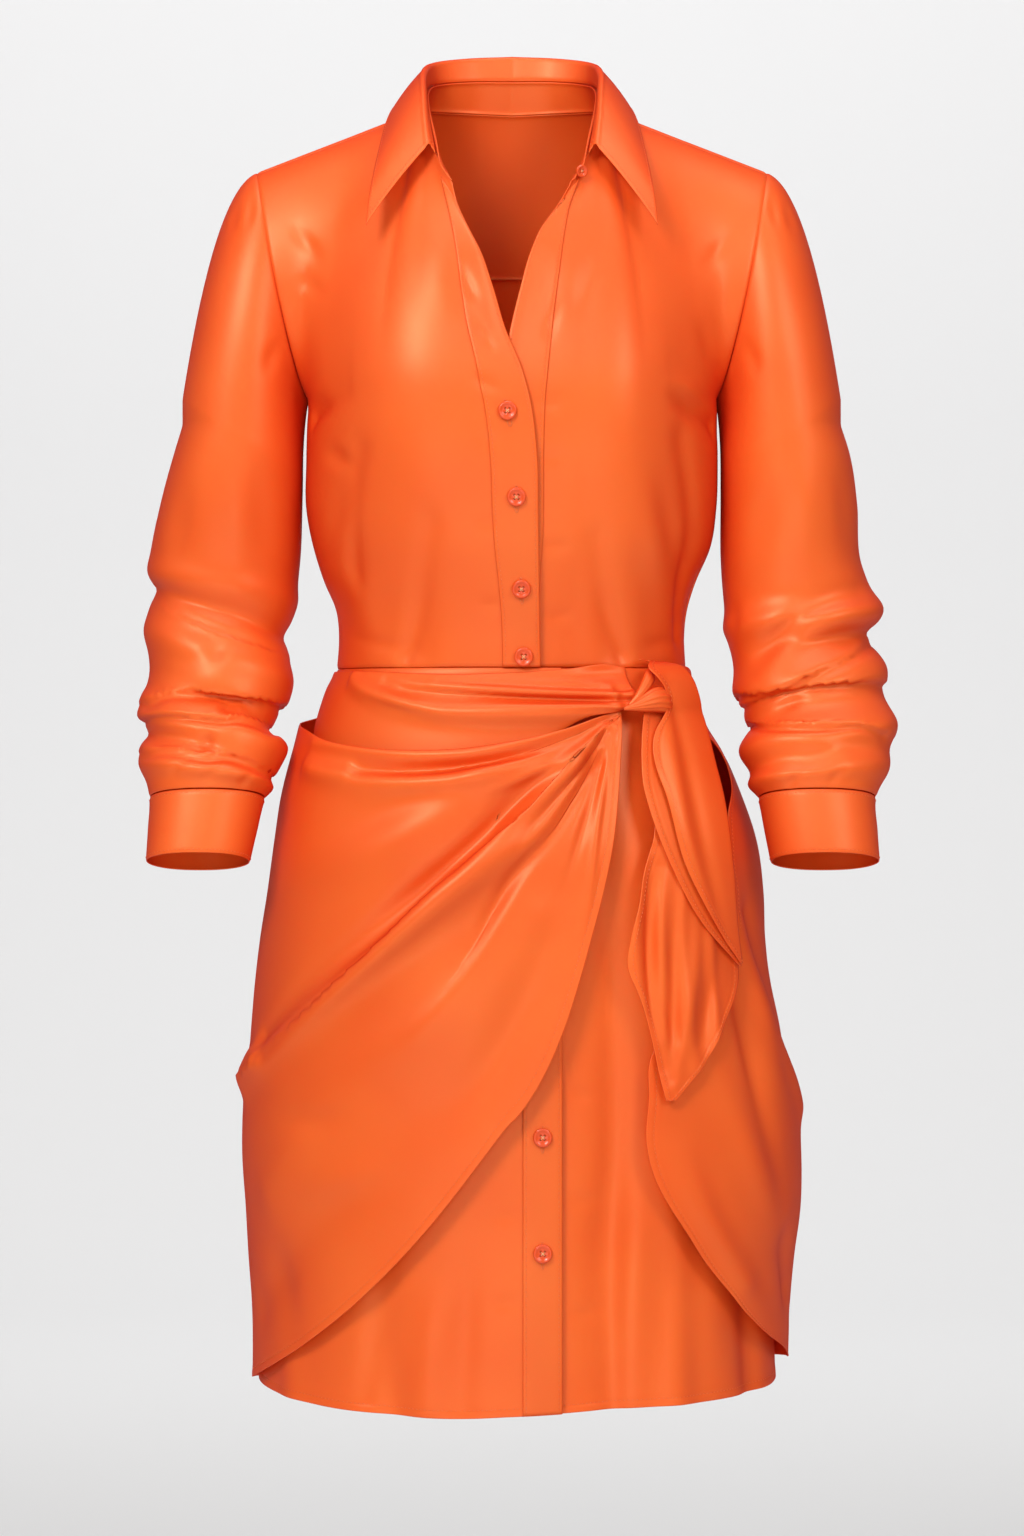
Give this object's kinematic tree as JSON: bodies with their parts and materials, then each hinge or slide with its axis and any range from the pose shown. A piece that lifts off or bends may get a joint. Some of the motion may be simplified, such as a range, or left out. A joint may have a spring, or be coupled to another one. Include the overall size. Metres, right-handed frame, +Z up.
{
  "type": "shirt dress",
  "caption": "Satin shirt dress as worn, with a pointed collar, buttoned front, pushed-up sleeves with cuffs, and a draped wrap skirt knotted at the waist over a short skirt.",
  "frame": {"origin": "the middle of the neck, at the height where the shoulders carry the dress", "axes": "+X to the wearer's left, -Y out of the front, +Z up"},
  "size_m": [0.542, 0.2812, 0.9731],
  "materials": {
    "orange_satin": "satin weave, smooth sheen",
    "orange_button": "polished"
  },
  "bodies": {
    "root": {"back_yoke": "orange_satin", "bodice_back": "orange_satin", "bodice_button_1": "orange_button", "bodice_button_2": "orange_button", "bodice_button_3": "orange_button", "bodice_button_4": "orange_button", "bodice_front_left": "orange_satin", "bodice_front_right": "orange_satin", "collar_button": "orange_button", "collar_fall": "orange_satin", "collar_stand": "orange_satin", "cuff_left": "orange_satin", "cuff_right": "orange_satin", "knot": "orange_satin", "placket_outer": "orange_satin", "placket_under": "orange_satin", "skirt_back": "orange_satin", "skirt_button_1": "orange_button", "skirt_button_2": "orange_button", "skirt_front_left": "orange_satin", "skirt_front_right": "orange_satin", "skirt_placket": "orange_satin", "sleeve_left": "orange_satin", "sleeve_right": "orange_satin", "tail_under": "orange_satin", "tail_upper": "orange_satin", "tie_band": "orange_satin", "wrap_left": "orange_satin", "wrap_right": "orange_satin"}
  },
  "joints": []
}
